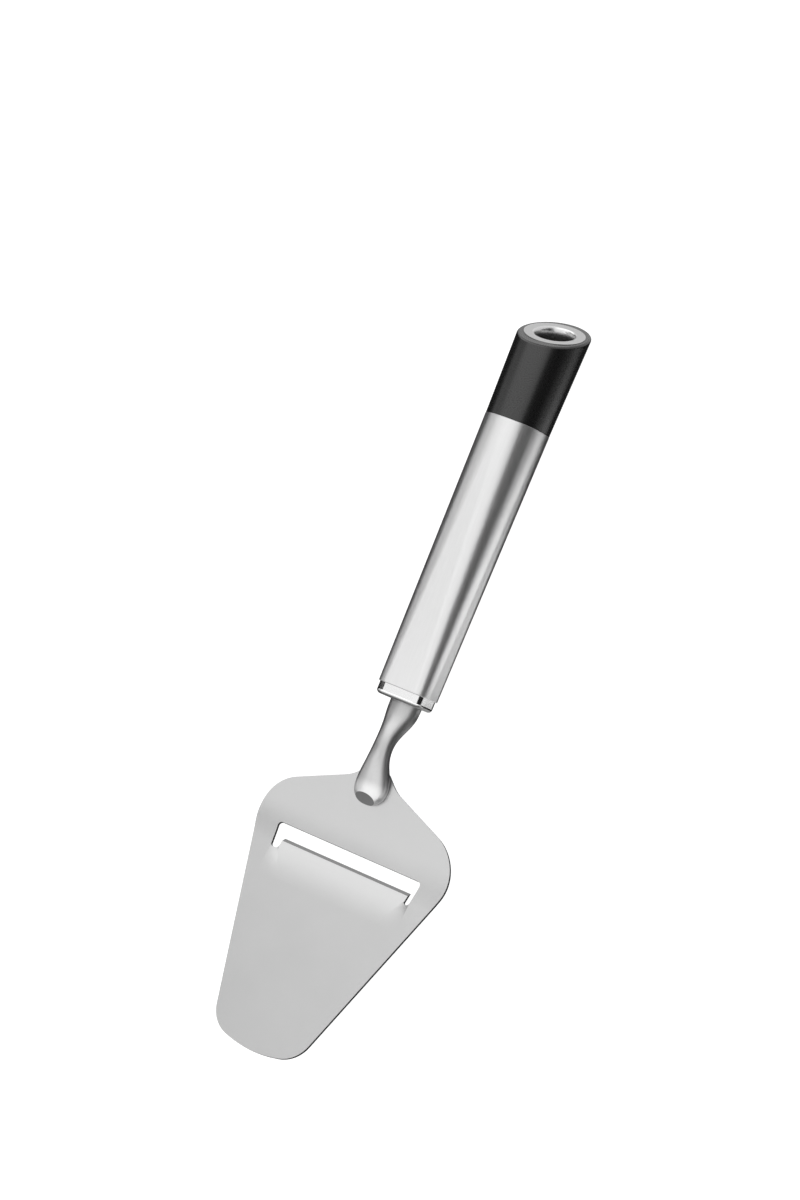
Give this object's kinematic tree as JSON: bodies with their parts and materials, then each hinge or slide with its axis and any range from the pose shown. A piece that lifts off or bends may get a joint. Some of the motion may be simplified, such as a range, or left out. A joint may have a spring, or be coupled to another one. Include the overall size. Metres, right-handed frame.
{
  "type": "cheese slicer",
  "caption": "Steel cheese slicer: stamped blade with a slot and pressed cutting lip, scooped forged neck, brushed tubular handle, black slanted end cap with a hanging eye.",
  "frame": {"origin": "middle of the hanging ring's bore, on its axis", "axes": "+Y along the handle, away from the blade; the blade's slice face looks up, towards +Z; symmetric about X = 0"},
  "size_m": [0.0714, 0.2464, 0.0226],
  "materials": {
    "blade_steel": "fine matte brushed",
    "neck_steel": "satin",
    "bolster_steel": "polished",
    "tube_steel": "brushed along the handle",
    "core_plastic": "moulded",
    "cap_plastic": "satin black",
    "ring_steel": "satin face, polished lip"
  },
  "bodies": {
    "root": {"blade": "blade_steel", "neck": "neck_steel", "bolster": "bolster_steel", "handle_tube": "tube_steel", "tang_core": "core_plastic", "end_cap": "cap_plastic", "hanging_ring": "ring_steel"}
  },
  "joints": []
}
